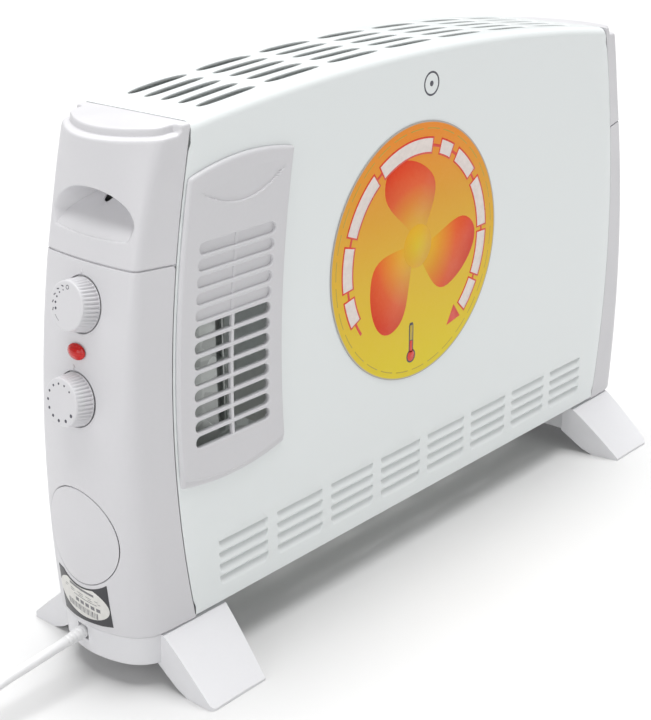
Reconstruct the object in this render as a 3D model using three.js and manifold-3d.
// Fan convector heater: steel casing between two plastic end caps, on two feet.
// Millimetres, +Z up. The front faces -Y and the controls are on the -X end.
// The origin is on the floor, under the middle of the heater's bounding box.
import * as THREE from 'three';
import { mergeVertices } from 'three/addons/utils/BufferGeometryUtils.js';
import Module from 'manifold-3d';

const wasm = await Module();
wasm.setup();

// ---------------------------------------------------------------- driving dimensions
const GAP = 0.3; // clearance between neighbouring pieces
const SHEET = 1.2; // steel sheet of the casing
const SHELL = 2.5; // wall of the moulded end caps

const DEPTH = 97; // casing, front face to back face
const FRONT = -DEPTH / 2;
const BACK = DEPTH / 2;
const CASING_BOTTOM = 42;
const CROWN = 383.5; // highest point of the arched top
const ARCH_RADIUS = 1750;
const TOP_EDGE_RADIUS = 7; // rounding between the front and the top
const BACK_FLANGE = 10; // top sheet turned down at the back

const EDGE_REACH = 254.5; // widest half-width of the casing sheet
const EDGE_HEIGHT = 173; // height of that widest place
const EDGE_RADIUS = 735; // the side edges are arcs

const CAP_BOTTOM = 40.8;
const CAP_REACH = 298.2; // widest reach of the cap's outer face, on the middle plane
const CAP_HEIGHT = 91.3; // height of that widest place
const CAP_RADIUS = 853; // the outer face is an arc up to the joint in the cap
const CAP_SPLIT = 285; // joint between the lower and the upper cap
const RIM_HEIGHT = 360; // rim of the ledge round the cap's top
const RIM_REACH = 269.9; // the face bows out again to this reach at the rim
const FACE_CURVE = { bottom: 0.007, split: 0.0019, rim: 0.0096 }; // bow of the face, per mm squared
const RIDGE_Y = { bottom: 47, split: 41.5, rim: 45.5 }; // corner ridges, from the middle plane
const CORNER_BLEND = { bottom: 15, split: 5, rim: 4 };
const PLATEAU_EDGE = 7.4; // width of the ledge round the cap's top
const LEDGE_DROP = 5.6;
const TOP_SLOPE = 0.085; // the cap's top runs down outwards at this slope

const KNOB_CLEARANCE = 0.6; // under the knob, over the cap's face
const KNOB_DEPTH = 11;
const KNOB_RADIUS = 18;
const KNOB_FACE_RADIUS = 15.2;
const MODE_HEIGHT = 258.5;
const LAMP_HEIGHT = 229.5;
const THERMOSTAT_HEIGHT = 199;
const BLANK_HEIGHT = 106;
const BLANK_RADIUS = 33.8;

const FOOT_BLOCK_BOTTOM = 17.5;
const FOOT_BLOCK_TOP = 39;
const LEG_REACH = 91;
const SCREW_HEAD = 4; // radius of the foot screws' heads
const FOOT_SCREW_X = 250; // from the middle of the casing

const CORD_RADIUS = 3.5;
const CORD_EXIT = { x: -291, y: 6.5, z: 32 }; // where the lead leaves the foot
const CORD_DROOP = THREE.MathUtils.degToRad(5.5); // slope of the lead as it leaves
const CORD_BEND = 60; // radius of its two bends on the way down to the floor
const CORD_STRAIGHT = 67; // length that it keeps straight beyond the foot
const GLAND = { inside: 13, length: 32, radius: 4.9, collar: 11 };
const COIL_CENTRE = { x: -437, y: 48.5 };
const COIL_RADIUS = 42; // at the middle of the bundle of turns
const COIL_BUNDLE = 21; // width of the bundle: three turns side by side
const COIL_STACK = 21; // height of the bundle: three turns on each other
const PLUG_RADIUS = 19;

// ---------------------------------------------------------------- curves of the casing
const archTop = (x) => CROWN - (x * x) / (2 * ARCH_RADIUS);
const panelEdge = (z) => EDGE_REACH - (z - EDGE_HEIGHT) ** 2 / (2 * EDGE_RADIUS);
const arcReach = (z) => CAP_REACH - (z - CAP_HEIGHT) ** 2 / (2 * CAP_RADIUS);
const arcSlope = (CAP_SPLIT - CAP_HEIGHT) / CAP_RADIUS;
const climb = (z) => Math.max(0, (z - CAP_SPLIT) / (RIM_HEIGHT - CAP_SPLIT)); // 0 to 1 up the upper cap
const capReach = (z) => {
  if (z <= CAP_SPLIT) return arcReach(z);
  const straight = (at) => arcReach(CAP_SPLIT) - arcSlope * (at - CAP_SPLIT);
  return straight(z) + (RIM_REACH - straight(RIM_HEIGHT)) * climb(z) ** 2;
};
// A value given at the cap's bottom, split and rim, and blended between them.
const upTheCap = ({ bottom, split, rim }, z) => {
  const low = Math.min(1, (z - CASING_BOTTOM) / (CAP_SPLIT - CASING_BOTTOM));
  return bottom + (split - bottom) * low + (rim - split) * Math.min(1, climb(z)) ** 2;
};
const capFace = (z, y = 0) => capReach(z) - upTheCap(FACE_CURVE, z) * y * y;
const faceTilt = (z) => Math.atan((z - CAP_HEIGHT) / CAP_RADIUS);
const capTop = (x) => {
  const seam = panelEdge(CROWN - TOP_EDGE_RADIUS - BACK_FLANGE);
  return archTop(Math.min(Math.abs(x), seam)) - TOP_SLOPE * Math.max(0, Math.abs(x) - seam);
};

// The controls stand proud at the -X end, so the casing's middle is off the origin.
const knobLean = faceTilt(THERMOSTAT_HEIGHT);
const knobTip = capFace(THERMOSTAT_HEIGHT)
  + (KNOB_CLEARANCE + KNOB_DEPTH) * Math.cos(knobLean) + KNOB_FACE_RADIUS * Math.sin(knobLean);
const casingShift = (knobTip - capFace(CAP_HEIGHT)) / 2;

// ---------------------------------------------------------------- solids
const solid = (geometry) => {
  const bare = geometry.clone();
  bare.deleteAttribute('normal');
  bare.deleteAttribute('uv');
  const merged = mergeVertices(bare, 1e-4);
  const corners = merged.index.array;
  const kept = [];
  for (let i = 0; i < corners.length; i += 3) {
    const [a, b, c] = [corners[i], corners[i + 1], corners[i + 2]];
    if (a !== b && b !== c && c !== a) kept.push(a, b, c);
  }
  return new wasm.Manifold(
    new wasm.Mesh({
      numProp: 3,
      vertProperties: new Float32Array(merged.attributes.position.array),
      triVerts: new Uint32Array(kept),
    }),
  );
};

const geometryOf = (body) => {
  const mesh = body.getMesh();
  const geometry = new THREE.BufferGeometry();
  const places = Float32Array.from(mesh.vertProperties);
  geometry.setAttribute('position', new THREE.BufferAttribute(places, 3));
  geometry.setIndex(new THREE.BufferAttribute(Uint32Array.from(mesh.triVerts), 1));
  geometry.computeVertexNormals();
  return geometry;
};

const cut = (body, ...tools) => tools.reduce((rest, tool) => rest.subtract(tool), body);
const join = (body, ...others) => others.reduce((sum, other) => sum.add(other), body);

const block = (x0, x1, y0, y1, z0, z1) => {
  const geometry = new THREE.BoxGeometry(x1 - x0, y1 - y0, z1 - z0);
  return geometry.translate((x0 + x1) / 2, (y0 + y1) / 2, (z0 + z1) / 2);
};

// A flat outline made solid along one axis, from lowest to highest.
const AXES = {
  x: new THREE.Matrix4().makeBasis(
    new THREE.Vector3(0, 1, 0), new THREE.Vector3(0, 0, 1), new THREE.Vector3(1, 0, 0)),
  y: new THREE.Matrix4().makeBasis(
    new THREE.Vector3(1, 0, 0), new THREE.Vector3(0, 0, 1), new THREE.Vector3(0, -1, 0)),
  z: new THREE.Matrix4(),
};
const prism = (shape, axis, lowest, highest, curveSegments = 4) => {
  const depth = highest - lowest;
  const geometry = new THREE.ExtrudeGeometry(shape, { depth, bevelEnabled: false, curveSegments });
  geometry.applyMatrix4(AXES[axis]);
  if (axis === 'x') return geometry.translate(lowest, 0, 0);
  if (axis === 'y') return geometry.translate(0, highest, 0);
  return geometry.translate(0, 0, lowest);
};

const shapeOf = (points) => new THREE.Shape(points.map(([u, v]) => new THREE.Vector2(u, v)));

const stadium = (u, v, length, height) => {
  const radius = height / 2;
  const reach = length / 2 - radius;
  const shape = new THREE.Shape();
  shape.absarc(u + reach, v, radius, -Math.PI / 2, Math.PI / 2);
  shape.absarc(u - reach, v, radius, Math.PI / 2, (3 * Math.PI) / 2);
  return shape;
};

const disc = (u, v, radius) => new THREE.Shape().absarc(u, v, radius, 0, 2 * Math.PI);

// A closed skin over rings of equal length. `across` are the two axes of each ring's plane.
const loft = (rings, across) => {
  const count = rings[0].length;
  const places = rings.flat();
  const faces = [];
  for (let ring = 0; ring + 1 < rings.length; ring++) {
    for (let i = 0; i < count; i++) {
      const a = ring * count + i;
      const b = ring * count + ((i + 1) % count);
      faces.push([a, b, b + count], [a, b + count, a + count]);
    }
  }
  const addLid = (start, forward) => {
    const flat = rings[start / count].map((p) => new THREE.Vector2(p[across[0]], p[across[1]]));
    const sense = Math.sign(THREE.ShapeUtils.area(flat));
    for (const [a, b, c] of THREE.ShapeUtils.triangulateShape(flat, [])) {
      const own = Math.sign(THREE.ShapeUtils.area([flat[a], flat[b], flat[c]]));
      const keep = (own === sense) === forward;
      faces.push(keep ? [start + a, start + b, start + c] : [start + a, start + c, start + b]);
    }
  };
  addLid(0, false);
  addLid((rings.length - 1) * count, true);
  const at = (i) => new THREE.Vector3(...places[i]);
  const volume = faces.reduce((sum, [a, b, c]) => sum + at(a).dot(at(b).cross(at(c))), 0);
  const outward = volume > 0 ? faces : faces.map(([a, b, c]) => [a, c, b]);
  const geometry = new THREE.BufferGeometry();
  geometry.setAttribute('position', new THREE.Float32BufferAttribute(places.flat(), 3));
  geometry.setIndex(outward.flat());
  geometry.computeVertexNormals();
  return geometry;
};

// A body turned about the Z axis, from [radius, height] pairs that start and end on the axis.
const turned = (profile, segments = 16) => {
  const points = profile.map(([radius, height]) => new THREE.Vector2(radius, height));
  return new THREE.LatheGeometry(points, segments).rotateX(Math.PI / 2);
};
const rod = (radius, z0, z1, segments = 12) =>
  turned([[0, z0], [radius, z0], [radius, z1], [0, z1]], segments);
const collar = (inner, outer, z0, z1, segments = 16) =>
  turned([[inner, z0], [outer, z0], [outer, z1], [inner, z1], [inner, z0]], segments);

const steps = (from, to, count) =>
  Array.from({ length: count + 1 }, (_, i) => from + ((to - from) * i) / count);

// ---------------------------------------------------------------- materials and assembly
const finish = (color, roughness, metalness = 0) => ({ color, roughness, metalness });
const FINISHES = {
  enamel: finish(0xe9eded, 0.3),
  plastic: finish(0xe4e3e8, 0.5),
  blackPlastic: finish(0x26262a, 0.5),
  redLens: finish(0xd0221c, 0.2),
  zinc: finish(0xb9bdc0, 0.4, 0.9),
  iron: finish(0x6d7074, 0.5, 0.8),
  copper: finish(0xb66a34, 0.4, 0.9),
  brass: finish(0xc9a85a, 0.35, 0.9),
  mica: finish(0xa58f6c, 0.7),
  nichrome: finish(0x77716b, 0.5, 0.8),
  sticker: finish(0xf3a21c, 0.4),
  label: finish(0x2c2c30, 0.5),
  cord: finish(0xe6e6e8, 0.45),
};

const heater = new THREE.Group();
heater.position.x = casingShift;

const add = (name, geometry, finishName, parent = heater) => {
  const shown = geometry.isBufferGeometry ? geometry : geometryOf(geometry);
  const mesh = new THREE.Mesh(shown, new THREE.MeshStandardMaterial(FINISHES[finishName]));
  mesh.name = name;
  parent.add(mesh);
  return mesh;
};

const SIDES = [['left', -1], ['right', 1]];

// ---------------------------------------------------------------- casing sheets
const backFace = BACK - SHEET - GAP; // outer face of the back panel, inside the folded sheet
const innerBack = backFace - SHEET;
const innerFront = FRONT + SHEET;

// Side edges of a sheet, as an outline in the XZ plane.
const sheetOutline = (bottom, top, inset = 0) => {
  const right = steps(bottom, top, 10).map((z) => [panelEdge(z) - inset, z]);
  const left = right.map(([x, z]) => [-x, z]).reverse();
  return shapeOf([...right, ...left]);
};

const frontSection = (x) => {
  const top = archTop(x);
  const outerBend = steps(0, Math.PI / 2, 3).map((a) => [
    FRONT + TOP_EDGE_RADIUS * (1 - Math.cos(a)),
    top - TOP_EDGE_RADIUS * (1 - Math.sin(a)),
  ]);
  const innerRadius = TOP_EDGE_RADIUS - SHEET;
  const innerBend = steps(Math.PI / 2, 0, 3).map((a) => [
    FRONT + TOP_EDGE_RADIUS - innerRadius * Math.cos(a),
    top - TOP_EDGE_RADIUS + innerRadius * Math.sin(a),
  ]);
  const section = [
    [FRONT, CASING_BOTTOM], ...outerBend, [BACK, top], [BACK, top - BACK_FLANGE],
    [BACK - SHEET, top - BACK_FLANGE], [BACK - SHEET, top - SHEET], ...innerBend,
    [FRONT + SHEET, CASING_BOTTOM],
  ];
  return section.map(([y, z]) => [x, y, z]);
};

// Grille on the front, beside the left cap.
const GRILLE = {
  proud: 3.2, top: 335, bottom: 137.5, edgeGap: 2, width: 91, widening: 0.02,
  slots: 13, blind: 5, topSlot: 291, pitch: 10.45, slotLength: 67, slotHeight: 7.8,
  slotInset: 15.5, rib: 1.8, crest: 6,
};
const grilleLeft = (z) => -(panelEdge(z) - GRILLE.edgeGap);
const grilleRight = (z) => grilleLeft(z) + GRILLE.width + GRILLE.widening * (GRILLE.top - z);
const slotHeightAt = (i) => GRILLE.topSlot - i * GRILLE.pitch;
const slotMiddle = (z) => -(panelEdge(z) - GRILLE.slotInset) + GRILLE.slotLength / 2;

const LOUVRES = { columns: 8, rows: 4, pitch: 56.14, length: 47.3, height: 3, top: 85.9, drop: 8.8 };
const louvreCutters = (y0, y1, rows, top) => {
  const cutters = [];
  for (let column = 0; column < LOUVRES.columns; column++) {
    const x = (column - (LOUVRES.columns - 1) / 2) * LOUVRES.pitch;
    for (let row = 0; row < rows; row++) {
      const slot = stadium(x, top - row * LOUVRES.drop, LOUVRES.length, LOUVRES.height);
      cutters.push(solid(prism(slot, 'y', y0, y1, 1)));
    }
  }
  return cutters;
};

const VENTS = { columns: 7, rows: 5, pitch: 60, drop: 15.5, middle: 3, length: 50, width: 8.4 };
const ventCutters = () => {
  const cutters = [];
  for (let column = 0; column < VENTS.columns; column++) {
    for (let row = 0; row < VENTS.rows; row++) {
      const x = (column - (VENTS.columns - 1) / 2) * VENTS.pitch;
      const y = VENTS.middle + (row - (VENTS.rows - 1) / 2) * VENTS.drop;
      const slot = stadium(x, y, VENTS.length, VENTS.width);
      cutters.push(solid(prism(slot, 'z', archTop(x) - 20, CROWN + 10, 2)));
    }
  }
  return cutters;
};

const addCasing = () => {
  const reach = EDGE_REACH + 5;
  const folded = solid(loft(steps(-reach, reach, 12).map(frontSection), [1, 2]));
  const trimmed = folded.intersect(
    solid(prism(sheetOutline(CASING_BOTTOM - 5, CROWN + 5), 'y', FRONT - 5, BACK + 5)));
  const window = sheetOutline(
    slotHeightAt(GRILLE.slots - 1) - 6, slotHeightAt(GRILLE.blind) + 6, GRILLE.slotInset + 1);
  const windowCutter = solid(prism(window, 'y', FRONT - 5, FRONT + 5))
    .intersect(solid(block(-EDGE_REACH, slotMiddle(EDGE_HEIGHT) + GRILLE.slotLength / 2,
      FRONT - 6, FRONT + 6, 0, CROWN)));
  const openings = [...ventCutters(), windowCutter];
  openings.push(...louvreCutters(FRONT - 2, FRONT + 3, LOUVRES.rows, LOUVRES.top));
  add('front_panel', cut(trimmed, ...openings), 'enamel');

  const backTop = steps(-1, 1, 10).map((s) => {
    const x = s * (panelEdge(archTop(EDGE_REACH)) - 1);
    return [-x, archTop(x) - SHEET - 1];
  });
  const backSides = steps(CASING_BOTTOM, archTop(EDGE_REACH) - 12, 8);
  const rightSide = backSides.map((z) => [panelEdge(z) - 1, z]);
  const leftSide = backSides.map((z) => [-panelEdge(z) + 1, z]).reverse();
  const backOutline = shapeOf([...rightSide, ...backTop, ...leftSide]);
  const backPlate = solid(prism(backOutline, 'y', backFace - SHEET, backFace));
  const backLouvres = louvreCutters(backFace - 3, backFace + 2, 2, LOUVRES.top);
  add('back_panel', cut(backPlate, ...backLouvres), 'enamel');
};
addCasing();

const addGrille = () => {
  const back = FRONT - GAP;
  const face = FRONT - GRILLE.proud;
  const arc = (from, to, crest, count) => steps(0, 1, count).map((s) => [
    from[0] + (to[0] - from[0]) * s,
    from[1] + (to[1] - from[1]) * s + 4 * crest * s * (1 - s),
  ]);
  const { top, bottom, crest } = GRILLE;
  const leftEdge = steps(bottom, top, 6).map((z) => [grilleLeft(z), z]);
  const topEdge = arc([grilleLeft(top), top], [grilleRight(top + 4), top + 4], crest / 2, 6);
  const rightEdge = steps(top + 4, bottom + 2, 6).map((z) => [grilleRight(z), z]);
  const bottomEdge = arc(
    [grilleRight(bottom + 2), bottom + 2], [grilleLeft(bottom), bottom], -crest, 6);
  const outline = [...leftEdge, ...topEdge.slice(1, -1), ...rightEdge, ...bottomEdge.slice(1, -1)];
  const plate = solid(prism(shapeOf(outline), 'y', face, back));
  const pocketFloor = face + 1.6;
  const slots = [];
  for (let i = 0; i < GRILLE.slots; i++) {
    const z = slotHeightAt(i);
    const open = i >= GRILLE.blind;
    const slot = stadium(slotMiddle(z), z, GRILLE.slotLength, GRILLE.slotHeight);
    const cutter = solid(prism(slot, 'y', face - 1, open ? back + 1 : pocketFloor, 2));
    const x = slotMiddle(z);
    const rib = solid(block(x - GRILLE.rib / 2, x + GRILLE.rib / 2, face, back + 2, z - 6, z + 6));
    slots.push(open ? cutter.subtract(rib) : cutter);
  }
  add('front_grille', cut(plate, ...slots), 'plastic');
};
addGrille();

// Flat steel end plates and the floor of the casing.
const BULKHEAD_X = 238;
const BULKHEAD_TOP = 316;
const PLATE_BOTTOM = CASING_BOTTOM + 0.5;
const INTAKES = { columns: 6, rows: 3, pitch: 66, drop: 24, length: 54, width: 8 };
const addEndPlates = () => {
  for (const [side, sign] of SIDES) {
    const inside = sign * BULKHEAD_X;
    const outside = sign * (BULKHEAD_X + SHEET);
    const plate = block(Math.min(inside, outside), Math.max(inside, outside),
      innerFront + GAP, innerBack - GAP, PLATE_BOTTOM, BULKHEAD_TOP);
    const hole = prism(disc(0, 70, 9), 'x', -EDGE_REACH, EDGE_REACH);
    add(`${side}_end_plate`, cut(solid(plate), solid(hole)), 'zinc');
  }
  const reach = BULKHEAD_X - GAP;
  const floor = solid(block(-reach, reach, innerFront + GAP, innerBack - GAP,
    PLATE_BOTTOM, PLATE_BOTTOM + SHEET));
  const intakes = [];
  for (let column = 0; column < INTAKES.columns; column++) {
    for (let row = 0; row < INTAKES.rows; row++) {
      const x = (column - (INTAKES.columns - 1) / 2) * INTAKES.pitch;
      const y = (row - (INTAKES.rows - 1) / 2) * INTAKES.drop;
      const slot = stadium(x, y, INTAKES.length, INTAKES.width);
      intakes.push(solid(prism(slot, 'z', PLATE_BOTTOM - 3, PLATE_BOTTOM + 5, 1)));
    }
  }
  add('bottom_plate', cut(floor, ...intakes), 'zinc');
};
addEndPlates();

// ---------------------------------------------------------------- end caps
// Plan outline of a cap at one height, drawn on the +X end: seam, flank, ridge, face, and back.
const FACE_STEPS = 4;
const capPlan = (z, inset = 0) => {
  const seam = panelEdge(z) + GAP;
  const halfDepth = BACK - inset;
  const ridgeY = upTheCap(RIDGE_Y, z) - inset * 0.8;
  const blend = upTheCap(CORNER_BLEND, z);
  const face = (y) => capFace(z, y) - inset;
  const ridge = new THREE.Vector2(face(ridgeY), ridgeY);
  const flank = new THREE.Vector2(seam, halfDepth).sub(ridge).setLength(blend).add(ridge);
  const onFace = new THREE.Vector2(face(ridgeY - blend), ridgeY - blend);
  const corner = new THREE.QuadraticBezierCurve(flank, ridge, onFace).getPoints(4);
  const half = [[seam, halfDepth], ...corner.map((p) => [p.x, p.y])];
  const across = steps(onFace.y, -onFace.y, FACE_STEPS).slice(1, -1).map((y) => [face(y), y]);
  const mirrored = half.map(([x, y]) => [x, -y]).reverse();
  return [...half, ...across, ...mirrored];
};

// A body between cap outlines, reaching some way inwards past the seam.
const planLoft = (heights, inset, inward = 0) => {
  const rings = heights.map((z) => {
    const plan = capPlan(z, inset).map(([x, y]) => [x, y, z]);
    const [first, last] = [plan[0], plan[plan.length - 1]];
    if (!inward) return plan;
    return [...plan, [last[0] - inward, last[1], z], [first[0] - inward, first[1], z]];
  });
  return solid(loft(rings, [0, 1]));
};

const mirrorX = (body, sign) => (sign > 0 ? body : body.mirror([1, 0, 0]));

// Grip recess: half an ellipse over a shallow curved lower edge.
const HANDLE = { bottom: 301.3, waist: 309, top: 329.3, reach: 37, corner: 4, depth: 24, wall: 2 };
const handleOutline = (grow = 0) => {
  const shape = new THREE.Shape();
  const reach = HANDLE.reach + grow;
  const bottom = HANDLE.bottom - grow;
  shape.moveTo(-reach, HANDLE.waist);
  shape.quadraticCurveTo(-reach, bottom + HANDLE.corner / 2, -reach + HANDLE.corner, bottom + 1.5);
  shape.quadraticCurveTo(0, bottom - 1.5, reach - HANDLE.corner, bottom + 1.5);
  shape.quadraticCurveTo(reach, bottom + HANDLE.corner / 2, reach, HANDLE.waist);
  shape.absellipse(0, HANDLE.waist, reach, HANDLE.top + grow - HANDLE.waist, 0, Math.PI, false, 0);
  return shape;
};

// Everything above the cap's arched top, less a drop.
const CAP_ZONE = { inner: 200, outer: 310 }; // a cap lies between these, along X
const HOLLOW_REACH = 40; // a cap's hollow runs this far inwards past the seam
const aboveTop = (drop) => {
  const { inner, outer } = CAP_ZONE;
  const under = steps(inner, outer, 11).map((x) => [x, capTop(x) - drop]);
  const outline = shapeOf([...under, [outer, CROWN + 40], [inner, CROWN + 40]]);
  return solid(prism(outline, 'y', FRONT - 20, BACK + 20));
};

const capUpper = () => {
  const heights = steps(CAP_SPLIT + 0.6, CROWN, 6);
  const outer = planLoft(heights, 0).subtract(aboveTop(0));
  const plateau = planLoft(heights, PLATEAU_EDGE, HOLLOW_REACH);
  const ledgeStart = panelEdge(CAP_SPLIT + 60) + 4; // the ledge stops short of the seam
  const rim = planLoft(heights, -3).subtract(plateau).subtract(
    solid(block(CAP_ZONE.inner, ledgeStart, FRONT - 9, BACK + 9, 0, CROWN)));
  const ledge = rim.intersect(aboveTop(LEDGE_DROP));
  const hollow = planLoft([CAP_SPLIT - 5, ...heights.slice(1)], SHELL, HOLLOW_REACH)
    .subtract(aboveTop(SHELL + LEDGE_DROP));
  const shell = cut(outer, ledge, hollow);
  const faceX = capFace(HANDLE.bottom);
  const deepest = faceX - HANDLE.depth;
  const tub = solid(prism(handleOutline(HANDLE.wall), 'x', deepest - HANDLE.wall, CAP_ZONE.outer))
    .intersect(outer);
  const grip = solid(prism(handleOutline(), 'x', deepest, CAP_ZONE.outer));
  return join(shell, tub).subtract(grip);
};

// A round hole square to the cap's face, which leans back as it rises.
const faceBore = (z, radius, segments = 16) => {
  const bore = rod(radius, -12, 12, segments).rotateY(Math.PI / 2 - faceTilt(z));
  return solid(bore.translate(capFace(z), 0, z));
};

const CORD_HOLE = { x: -262, radius: 5.5 };
const lowerHeights = [
  ...steps(CAP_BOTTOM, CAP_HEIGHT, 2), ...steps(CAP_HEIGHT, CAP_SPLIT - 0.6, 5).slice(1),
];
const capLower = () => {
  const outer = planLoft(lowerHeights, 0);
  const inner = [CAP_BOTTOM + SHELL, ...lowerHeights.slice(1, -1), CAP_SPLIT + 5];
  return outer.subtract(planLoft(inner, SHELL, HOLLOW_REACH));
};

// A body cut to a round or flat outline seen from the end of the heater.
const endOn = (shape, curveSegments) =>
  solid(prism(shape, 'x', CAP_ZONE.inner + 60, CAP_ZONE.outer, curveSegments));

const LAMP = { bore: 4.9, stem: 4.6, flange: 6.2, wide: 1.25, high: 0.82 };
const LABEL = { reach: 24.5, bottom: 44.5, top: 74.6, sag: 4, thickness: 0.3 };
const addCaps = () => {
  const upper = capUpper();
  const lower = capLower();
  for (const [side, sign] of SIDES) {
    add(`${side}_cap_upper`, mirrorX(upper, sign), 'plastic');
  }
  add('right_cap_lower', lower, 'plastic');

  const cordHole = rod(CORD_HOLE.radius, CASING_BOTTOM - 5, CASING_BOTTOM + 5)
    .translate(-CORD_HOLE.x, CORD_EXIT.y, 0);
  const bores = [
    faceBore(MODE_HEIGHT, 4.5), faceBore(LAMP_HEIGHT, LAMP.bore), faceBore(THERMOSTAT_HEIGHT, 4.5),
    endOn(disc(0, BLANK_HEIGHT, BLANK_RADIUS), 8), solid(cordHole),
  ];
  add('left_cap_lower', mirrorX(cut(lower, ...bores), -1), 'plastic');
  const wall = planLoft(lowerHeights, 0).subtract(planLoft(lowerHeights, SHELL, HOLLOW_REACH));
  const blankBody = endOn(disc(0, BLANK_HEIGHT, BLANK_RADIUS - GAP), 8);
  add('timer_blank', mirrorX(wall.intersect(blankBody), -1), 'plastic');

  // The label follows the cap's face below the blanking disc.
  const labelFront = planLoft(steps(CASING_BOTTOM, 90, 3), -GAP - LABEL.thickness);
  const labelBack = planLoft(steps(CASING_BOTTOM - 1, 91, 3), -GAP, HOLLOW_REACH);
  const labelShape = new THREE.Shape();
  labelShape.moveTo(-LABEL.reach, LABEL.bottom);
  labelShape.lineTo(LABEL.reach, LABEL.bottom);
  labelShape.lineTo(LABEL.reach, LABEL.top + LABEL.sag);
  labelShape.quadraticCurveTo(0, LABEL.top - 3 * LABEL.sag, -LABEL.reach, LABEL.top + LABEL.sag);
  const label = labelFront.subtract(labelBack).intersect(endOn(labelShape, 6));
  add('rating_label', mirrorX(label, -1), 'label');
};
addCaps();

// ---------------------------------------------------------------- feet
const LEG = {
  root: 38, brow: 46, outer: 271.5, inner: 213, tipInner: 222.5, heel: 63.5, toeRound: 11, crease: 2,
};
// Cross-section of a leg at one distance from the middle plane: flat, then sloping down from its brow.
const legRing = (reach, sign) => {
  const along = (reach - LEG.root) / (LEG_REACH - LEG.root);
  const inner = LEG.inner + (LEG.tipInner - LEG.inner) * along;
  const past = Math.max(0, reach - (LEG_REACH - LEG.toeRound));
  const round = Math.sqrt(Math.max(0, LEG.toeRound ** 2 - past ** 2));
  const outer = LEG.outer - LEG.toeRound + round * 0.999;
  const down = Math.max(0, (reach - LEG.brow) / (LEG_REACH - LEG.brow));
  const top = FOOT_BLOCK_TOP + 1 - (FOOT_BLOCK_TOP - 0.5) * down ** 1.1;
  const rise = Math.max(0, (LEG.heel - reach) / (LEG.heel - LEG.root));
  const bottom = FOOT_BLOCK_BOTTOM * rise;
  const soft = Math.min(LEG.crease, (top - bottom) / 3);
  return [
    [inner, sign * reach, bottom], [outer, sign * reach, bottom],
    [outer, sign * reach, top - soft], [outer - soft, sign * reach, top],
    [inner + soft, sign * reach, top], [inner, sign * reach, top - soft],
  ];
};

const SCREW_WELL = 6; // depth of the wells that take the foot screws
const addFeet = () => {
  const screwPlaces = [-26, 26];
  const blockInner = LEG.inner + 3;
  // The block's outline follows the cap, and ends square under the casing.
  const ring = (inset, z) => {
    const outline = capPlan(CASING_BOTTOM, inset);
    const [first, last] = [outline[0], outline[outline.length - 1]];
    return [...outline, [blockInner, last[1]], [blockInner, first[1]]].map(([x, y]) => [x, y, z]);
  };
  for (const [side, sign] of SIDES) {
    const slab = solid(loft([ring(3, FOOT_BLOCK_BOTTOM), ring(1.5, FOOT_BLOCK_TOP)], [0, 1]));
    const neck = solid(loft([ring(9, FOOT_BLOCK_TOP - 1), ring(9, CAP_BOTTOM - GAP)], [0, 1]));
    const legs = [-1, 1].map((end) =>
      solid(loft(steps(LEG.root, LEG_REACH, 7).map((reach) => legRing(reach, end)), [0, 2])));
    const well = rod(SCREW_HEAD + 1, FOOT_BLOCK_BOTTOM - 2, FOOT_BLOCK_BOTTOM + SCREW_WELL);
    const wells = screwPlaces.map((y) => solid(well.clone().translate(FOOT_SCREW_X, y, 0)));
    let foot = cut(join(slab, neck, ...legs), ...wells);
    if (side === 'left') {
      const channel = block(-CORD_HOLE.x - 7, 300, CORD_EXIT.y - 5.4, CORD_EXIT.y + 5.4,
        CORD_EXIT.z - 5.4, CASING_BOTTOM + 2);
      foot = cut(foot, solid(channel));
    }
    add(`${side}_foot`, mirrorX(foot, sign), 'plastic');
    screwPlaces.forEach((y, i) => {
      const height = 2.6;
      const screw = turned(
        [[0, 0], [SCREW_HEAD, 0], [SCREW_HEAD, height / 2], [SCREW_HEAD - 1.6, height], [0, height]], 10);
      const mesh = add(`${side}_foot_screw_${i + 1}`, screw, 'zinc');
      mesh.position.set(sign * FOOT_SCREW_X, y, FOOT_BLOCK_BOTTOM + SCREW_WELL - GAP - height);
    });
  }
};
addFeet();

// Self-tapping screws along the bottom and the arched top of the back panel, heads standing proud.
const addBackScrews = () => {
  const low = [-1, 0, 1].map((i) => [i * 225, CASING_BOTTOM + 18]);
  const high = [-1, 0, 1].map((i) => [i * 215, archTop(i * 215) - 17]);
  [...low, ...high].forEach(([x, z], i) => {
    const screw = turned([[0, 0], [3.6, 0], [3.2, 1.4], [0, 2]], 10).rotateX(-Math.PI / 2);
    const mesh = add(`back_screw_${i + 1}`, screw, 'zinc');
    mesh.position.set(x, backFace + GAP, z);
  });
};
addBackScrews();

// ---------------------------------------------------------------- sticker
const STICKER = { x: -12.75, z: 237.5, radius: 95, thickness: 0.4 };
const sticker = rod(STICKER.radius, 0, STICKER.thickness, 48).rotateX(Math.PI / 2);
add('front_sticker', sticker, 'sticker').position.set(STICKER.x, FRONT - GAP, STICKER.z);

// ---------------------------------------------------------------- controls
// Each control is built along its own +Z, which points out of the cap's face.
const controlFrame = (z) => {
  const frame = new THREE.Group();
  frame.position.set(-capFace(z), 0, z);
  frame.rotation.y = -(Math.PI / 2 - faceTilt(z));
  heater.add(frame);
  return frame;
};

const taperedKnob = () => {
  const foot = KNOB_CLEARANCE;
  const tip = foot + KNOB_DEPTH;
  const skin = turned([
    [0, foot], [KNOB_RADIUS, foot], [KNOB_RADIUS, foot + 1.6],
    [KNOB_FACE_RADIUS + 0.6, tip - 0.8], [KNOB_FACE_RADIUS, tip], [0, tip],
  ], 32);
  const bore = rod(3.3, foot - 1, tip - 3, 12);
  return solid(skin).subtract(solid(bore));
};

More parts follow.
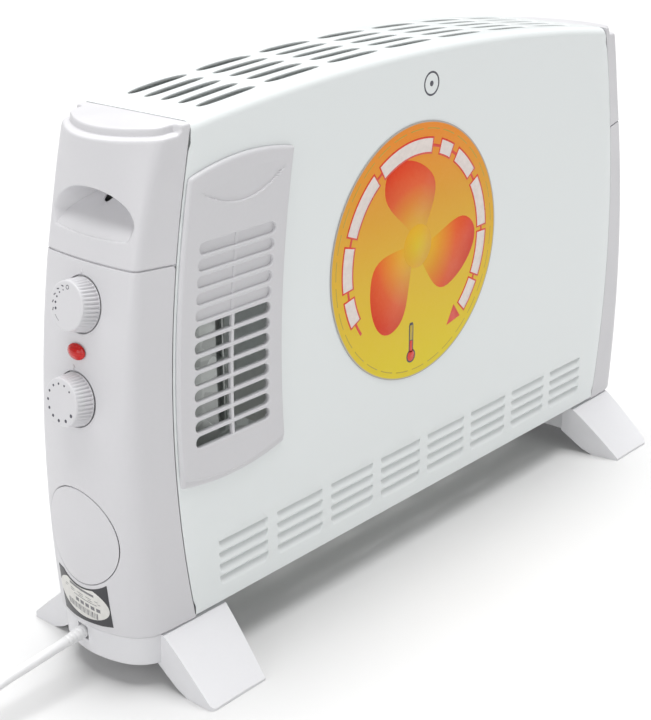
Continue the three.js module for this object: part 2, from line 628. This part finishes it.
const addDial = (name, z, bodyName, bodyGeometry, bodyFinish) => {
  const frame = controlFrame(z);
  add(`${name}_knob`, taperedKnob(), 'plastic', frame);
  add(`${name}_shaft`, rod(3, -BRACKET_BACK + GAP, KNOB_DEPTH - 2.8), 'zinc', frame);
  add(bodyName, bodyGeometry, bodyFinish, frame);
};

const BRACKET_DEPTH = 12; // the bracket's distance behind the cap's outer face
const BRACKET_BACK = BRACKET_DEPTH + SHEET + GAP;

const addControls = () => {
  // The rotary switch and the thermostat hang behind the bracket, with their shafts through it.
  const switchBody = block(-13, 13, -15, 15, -BRACKET_BACK - 20, -BRACKET_BACK);
  addDial('mode', MODE_HEIGHT, 'mode_switch', switchBody, 'blackPlastic');
  const thermostatBody = join(
    solid(block(-12, 12, -16, 16, -BRACKET_BACK - 14, -BRACKET_BACK)),
    solid(rod(9, -BRACKET_BACK - 19, -BRACKET_BACK - 13)));
  addDial('thermostat', THERMOSTAT_HEIGHT, 'thermostat', thermostatBody, 'blackPlastic');

  // One steel bracket behind the cap's face carries both controls.
  const leaning = (z, off) => {
    const a = faceTilt(z);
    return [-capFace(z) + off * Math.cos(a), z - off * Math.sin(a)];
  };
  const ends = [THERMOSTAT_HEIGHT - 21, MODE_HEIGHT + 17.5];
  const heights = [ends[0], THERMOSTAT_HEIGHT, LAMP_HEIGHT, MODE_HEIGHT, ends[1]];
  const near = heights.map((z) => leaning(z, BRACKET_DEPTH));
  const far = heights.map((z) => leaning(z, BRACKET_DEPTH + SHEET)).reverse();
  const plate = solid(prism(shapeOf([...near, ...far]), 'y', -22, 22));
  const holes = [[MODE_HEIGHT, 4.2], [THERMOSTAT_HEIGHT, 4.2], [LAMP_HEIGHT, 7]].map(([z, radius]) =>
    faceBore(z, radius).mirror([1, 0, 0]).translate(
      [BRACKET_DEPTH * Math.cos(faceTilt(z)), 0, -BRACKET_DEPTH * Math.sin(faceTilt(z))]));
  add('control_bracket', cut(plate, ...holes), 'zinc');

  // Pilot lamp: an oval lens on a round stem.
  const lamp = controlFrame(LAMP_HEIGHT);
  const stemEnd = -SHELL - 0.5;
  const dome = turned([[0, GAP], [LAMP.flange, GAP], [LAMP.flange, 1.2], [4.6, 2.6], [0, 3]], 20)
    .scale(LAMP.high, LAMP.wide, 1);
  const stem = rod(LAMP.stem, stemEnd, 1, 16);
  add('pilot_lamp_lens', join(solid(dome), solid(stem)), 'redLens', lamp);
  add('pilot_lamp_body', rod(LAMP.stem, -18, stemEnd - GAP), 'blackPlastic', lamp);
};
addControls();

// ---------------------------------------------------------------- blower
// Cross-flow blower with an upright axis, behind the open slots of the grille.
const BLOWER = {
  x: -196, y: -4, radius: 25, bottom: 150, top: 252, blades: 12, bladeWidth: 6.8, bladeTurn: 0.6,
  shaft: 2.5, scrollTop: 258, scrollBottom: 144, inner: 30,
};
const MOTOR = { z: 284, halfStack: 8, rotor: 12, bore: 12.6 };
const addBlower = () => {
  const frame = new THREE.Group();
  frame.position.set(BLOWER.x, BLOWER.y, 0);
  heater.add(frame);

  const { radius, bottom, top } = BLOWER;
  const discs = [bottom, (bottom + top) / 2, top].map((z) => solid(rod(radius, z - 1, z + 1, 16)));
  const blades = steps(0, 2 * Math.PI, BLOWER.blades).slice(0, -1).map((angle) => {
    const half = BLOWER.bladeWidth / 2;
    const blade = block(-0.5, 0.5, -half, half, bottom, top);
    blade.rotateZ(BLOWER.bladeTurn).translate(radius - half - 1, 0, 0).rotateZ(angle);
    return solid(blade);
  });
  const hub = solid(rod(6, bottom - 3, top + 3));
  const bore = solid(rod(BLOWER.shaft + 0.2, bottom - 5, top + 5));
  add('impeller', join(discs[0], discs[1], discs[2], ...blades, hub).subtract(bore), 'zinc', frame);

  const motorMiddle = MOTOR.z;
  const shaftBottom = BLOWER.scrollBottom - 8;
  add('blower_shaft', rod(BLOWER.shaft, shaftBottom, motorMiddle + 26), 'zinc', frame);
  const rotor = collar(BLOWER.shaft + 0.2, MOTOR.rotor, motorMiddle - 10, motorMiddle + 10, 20);
  add('motor_rotor', rotor, 'iron', frame);

  // Rear wall of the blower: a spiral, open to the front slots and to the inside of the casing.
  const spiral = (grow) => steps(-0.35 * Math.PI, 0.9 * Math.PI, 14).map((a) => {
    const r = BLOWER.inner + 1.6 * (a + 0.35 * Math.PI) + grow;
    return [-r * Math.sin(a), r * Math.cos(a)];
  });
  const wall = shapeOf([...spiral(0), ...spiral(1.2).reverse()]);
  add('blower_scroll', prism(wall, 'z', BLOWER.scrollBottom + 1.5, BLOWER.scrollTop - 1.5), 'zinc', frame);

  const plateReach = { x0: -40, x1: 40, y0: innerFront + 1 - BLOWER.y, y1: innerBack - 1 - BLOWER.y };
  const endPlate = (z) => {
    const plate = block(plateReach.x0, plateReach.x1, plateReach.y0, plateReach.y1, z, z + SHEET);
    return solid(plate).subtract(solid(rod(7, z - 2, z + 4)));
  };
  add('blower_upper_plate', endPlate(BLOWER.scrollTop - 1), 'zinc', frame);
  add('blower_lower_plate', endPlate(BLOWER.scrollBottom - 0.5), 'zinc', frame);
  const bearing = (z0, z1) => collar(BLOWER.shaft + 0.2, 6.7, z0, z1);
  add('lower_bearing', bearing(BLOWER.scrollBottom - 6, BLOWER.scrollBottom + 1.5), 'brass', frame);
  add('upper_bearing', bearing(BLOWER.scrollTop - 2, BLOWER.scrollTop + 4), 'brass', frame);

  // Shaded-pole motor: a laminated frame round the rotor, with its coil on one limb.
  const stator = cut(
    solid(block(-22, 40, -20, 20, motorMiddle - MOTOR.halfStack, motorMiddle + MOTOR.halfStack)),
    solid(rod(MOTOR.bore, motorMiddle - 12, motorMiddle + 12, 24)),
    solid(block(18, 30, -10, 10, motorMiddle - 12, motorMiddle + 12)));
  add('motor_stator', stator, 'iron', frame);
  const limb = { x0: 29.7, x1: 40.3 };
  const stackTop = motorMiddle + MOTOR.halfStack + GAP;
  const stackBottom = motorMiddle - MOTOR.halfStack - GAP;
  const coil = solid(block(limb.x0 - 8, limb.x1 + 6, -9.4, 9.4, motorMiddle - 14, motorMiddle + 14));
  const limbHole = solid(block(limb.x0, limb.x1, -12, 12, stackBottom, stackTop));
  add('motor_coil', coil.subtract(limbHole), 'copper', frame);
  const bridge = join(
    solid(block(-20, 17, -6, 6, motorMiddle + 14, motorMiddle + 16)),
    solid(block(-20, -14, -6, 6, stackTop, motorMiddle + 15)),
    solid(block(13.4, 17, -6, 6, stackTop, motorMiddle + 15)));
  const bridgeBore = solid(rod(BLOWER.shaft + 0.3, motorMiddle + 10, motorMiddle + 20));
  add('motor_bracket', bridge.subtract(bridgeBore), 'zinc', frame);
};
addBlower();

// ---------------------------------------------------------------- heating elements
const ELEMENT = { x0: -136, x1: 222, z: 96, height: 36, spread: 20, passes: 16, rim: 9, board: 1.6 };
const addElements = () => {
  for (const [side, sign] of [['front', -1], ['rear', 1]]) {
    const y = sign * ELEMENT.spread;
    const low = ELEMENT.z - ELEMENT.height / 2;
    const high = ELEMENT.z + ELEMENT.height / 2;
    const half = ELEMENT.board / 2;
    const board = solid(block(ELEMENT.x0, ELEMENT.x1, y - half, y + half, low, high));
    const windows = steps(ELEMENT.x0 + 30, ELEMENT.x1 - 30, 6).map((x) =>
      solid(block(x - 18, x + 18, y - 3, y + 3, low + ELEMENT.rim, high - ELEMENT.rim)));
    add(`mica_board_${side}`, cut(board, ...windows), 'mica');

    // The resistance ribbon runs up and down along the board, standing just off it.
    const face = y + sign * 2.2;
    const places = steps(ELEMENT.x0 + 12, ELEMENT.x1 - 12, ELEMENT.passes - 1);
    const ribbonEdge = (offset) => places.flatMap((x, i) => {
      const [start, end] = i % 2 ? [high - 4, low + 4] : [low + 4, high - 4];
      const beside = i % 2 ? x + offset : x - offset;
      return [[beside, start + offset], [beside, end + offset]];
    });
    const ribbon = shapeOf([...ribbonEdge(0.7), ...ribbonEdge(-0.7).reverse()]);
    add(`heating_ribbon_${side}`, prism(ribbon, 'y', face - 0.6, face + 0.6), 'nichrome');
  }
  for (const [side, x] of [['left', ELEMENT.x0 - 2], ['right', ELEMENT.x1 + 0.8]]) {
    const post = join(
      solid(block(x, x + 1.2, -30, 30, 60, 120)),
      solid(block(x, x + 1.2, innerFront + 1, innerBack - 1, PLATE_BOTTOM + SHEET + GAP, 62)));
    add(`element_bracket_${side}`, post, 'zinc');
  }
  const cutout = join(solid(rod(8, 0, 5)), solid(block(-3, 3, -11, 11, 4, 6)));
  const mesh = add('thermal_cutout', cutout, 'blackPlastic');
  mesh.rotation.y = Math.PI / 2;
  mesh.position.set(ELEMENT.x0 - 8.4, 0, ELEMENT.z);
};
addElements();

// ---------------------------------------------------------------- supply lead
const tube = (points, radius, sections, sides = 8) => {
  const places = points.map((p) => new THREE.Vector3(...p));
  const curve = new THREE.CatmullRomCurve3(places, false, 'centripetal');
  const round = steps(0, 2 * Math.PI, sides).slice(0, -1)
    .map((a) => new THREE.Vector2(radius * Math.cos(a), radius * Math.sin(a)));
  return new THREE.ExtrudeGeometry(new THREE.Shape(round),
    { steps: sections, extrudePath: curve, bevelEnabled: false });
};

const addSupply = () => {
  const { x, y, z } = CORD_EXIT;
  const middle = CORD_HOLE.x + 2;
  add('terminal_block', block(middle - 8, middle + 8, -12, 14, z + 34, z + 52), 'blackPlastic');

  // Inside the foot the lead turns up through the cap's hole to the terminal block.
  const route = [[x + 14, y, z], [x + 21, y, z + 1], [CORD_HOLE.x - 1, y, z + 7],
    [CORD_HOLE.x, y, z + 14], [CORD_HOLE.x, y, z + 32]];
  add('inner_lead', tube(route, 3, 12), 'cord');
  const gland = turned([[0, 0], [GLAND.radius, 0], [GLAND.radius, GLAND.collar],
    [CORD_RADIUS + 0.2, GLAND.length], [0, GLAND.length]], 12);
  const slope = Math.tan(CORD_DROOP);
  const glandMesh = add('cord_gland', gland, 'cord');
  glandMesh.rotation.y = -Math.PI / 2 - CORD_DROOP;
  glandMesh.position.set(x + GLAND.inside, y, z + GLAND.inside * slope);

  // Beyond the gland: straight, an arc downwards, then an arc back to lying on the floor.
  const gone = (GLAND.length - GLAND.inside) * Math.cos(CORD_DROOP) + GAP;
  const straight = [gone, CORD_STRAIGHT].map((along) => [x - along, y, z - along * slope]);
  const [bendX, , bendZ] = straight[1];
  const drop = bendZ - CORD_RADIUS - GAP;
  const steepest = Math.acos((Math.cos(CORD_DROOP) + 1 - drop / CORD_BEND) / 2);
  const levelOff = THREE.MathUtils.degToRad(24); // still this steep where the coil begins
  const downwards = steps(CORD_DROOP, steepest, 3).slice(1).map((a) => [
    bendX - CORD_BEND * (Math.sin(a) - Math.sin(CORD_DROOP)), y,
    bendZ - CORD_BEND * (Math.cos(CORD_DROOP) - Math.cos(a)),
  ]);
  const [lowX, , lowZ] = downwards[2];
  const level = steps(steepest, levelOff, 2).slice(1).map((a) => [
    lowX - CORD_BEND * (Math.sin(steepest) - Math.sin(a)), y,
    lowZ - CORD_BEND * (Math.cos(a) - Math.cos(steepest)),
  ]);
  add('power_cord', tube([...straight, ...downwards, ...level], CORD_RADIUS, 12), 'cord');

  const bundle = COIL_BUNDLE / 2;
  const coil = collar(COIL_RADIUS - bundle, COIL_RADIUS + bundle, 0.2, 0.2 + COIL_STACK, 28);
  add('cord_coil', coil, 'cord').position.set(COIL_CENTRE.x, COIL_CENTRE.y, 0);

  // Two-pin plug lying on the floor beside the coil, its cord end towards it.
  const plugBody = turned([[0, 0], [4.6, 0], [5.4, 18], [16, 24], [PLUG_RADIUS, 30],
    [PLUG_RADIUS, 44], [0, 44]], 16);
  const pins = [-9.5, 9.5].map((side) => solid(rod(2.4, 43, 63, 8).translate(0, side, 0)));
  const plug = add('plug', join(solid(plugBody), ...pins), 'cord');
  plug.rotation.y = Math.PI / 2;
  plug.position.set(COIL_CENTRE.x + 32, COIL_CENTRE.y + COIL_RADIUS + 2 * CORD_RADIUS, PLUG_RADIUS + 0.1);
};
addSupply();

export default heater;
